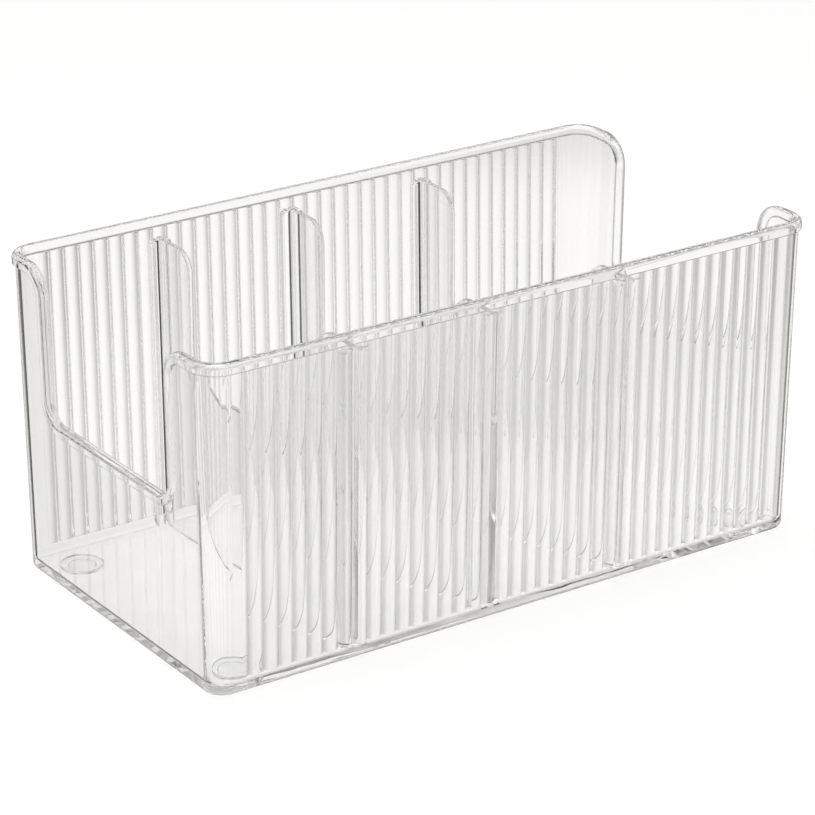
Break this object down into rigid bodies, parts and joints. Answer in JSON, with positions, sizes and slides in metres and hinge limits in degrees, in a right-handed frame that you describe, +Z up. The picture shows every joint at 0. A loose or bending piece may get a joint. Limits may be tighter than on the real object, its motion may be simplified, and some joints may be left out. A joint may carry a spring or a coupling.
{
  "type": "belt organizer",
  "caption": "Clear rectangular bin with reeded long walls, notched end walls and lift-out dividers that part it into compartments for coiled belts.",
  "frame": {"origin": "middle of the footprint, on the surface that the foot pads stand on", "axes": "+X along the length, +Y from the front to the back, +Z up"},
  "size_m": [0.2558, 0.1378, 0.1226],
  "materials": {
    "clear_tray": "clear, polished",
    "clear_divider": "clear, polished",
    "clear_foot": "clear soft silicone"
  },
  "bodies": {
    "bin": {"tray": "clear_tray", "foot_front_left": "clear_foot", "foot_front_right": "clear_foot", "foot_rear_left": "clear_foot", "foot_rear_right": "clear_foot"},
    "left_divider": {"divider_left": "clear_divider"},
    "middle_divider": {"divider_middle": "clear_divider"},
    "right_divider": {"divider_right": "clear_divider"}
  },
  "joints": [
    {"name": "left_divider_lift", "type": "slide", "parent": "bin", "child": "left_divider", "axis": [0, 0, 1], "range_m": [0, 0.125]},
    {"name": "middle_divider_lift", "type": "slide", "parent": "bin", "child": "middle_divider", "axis": [0, 0, 1], "range_m": [0, 0.125]},
    {"name": "right_divider_lift", "type": "slide", "parent": "bin", "child": "right_divider", "axis": [0, 0, 1], "range_m": [0, 0.125]}
  ]
}
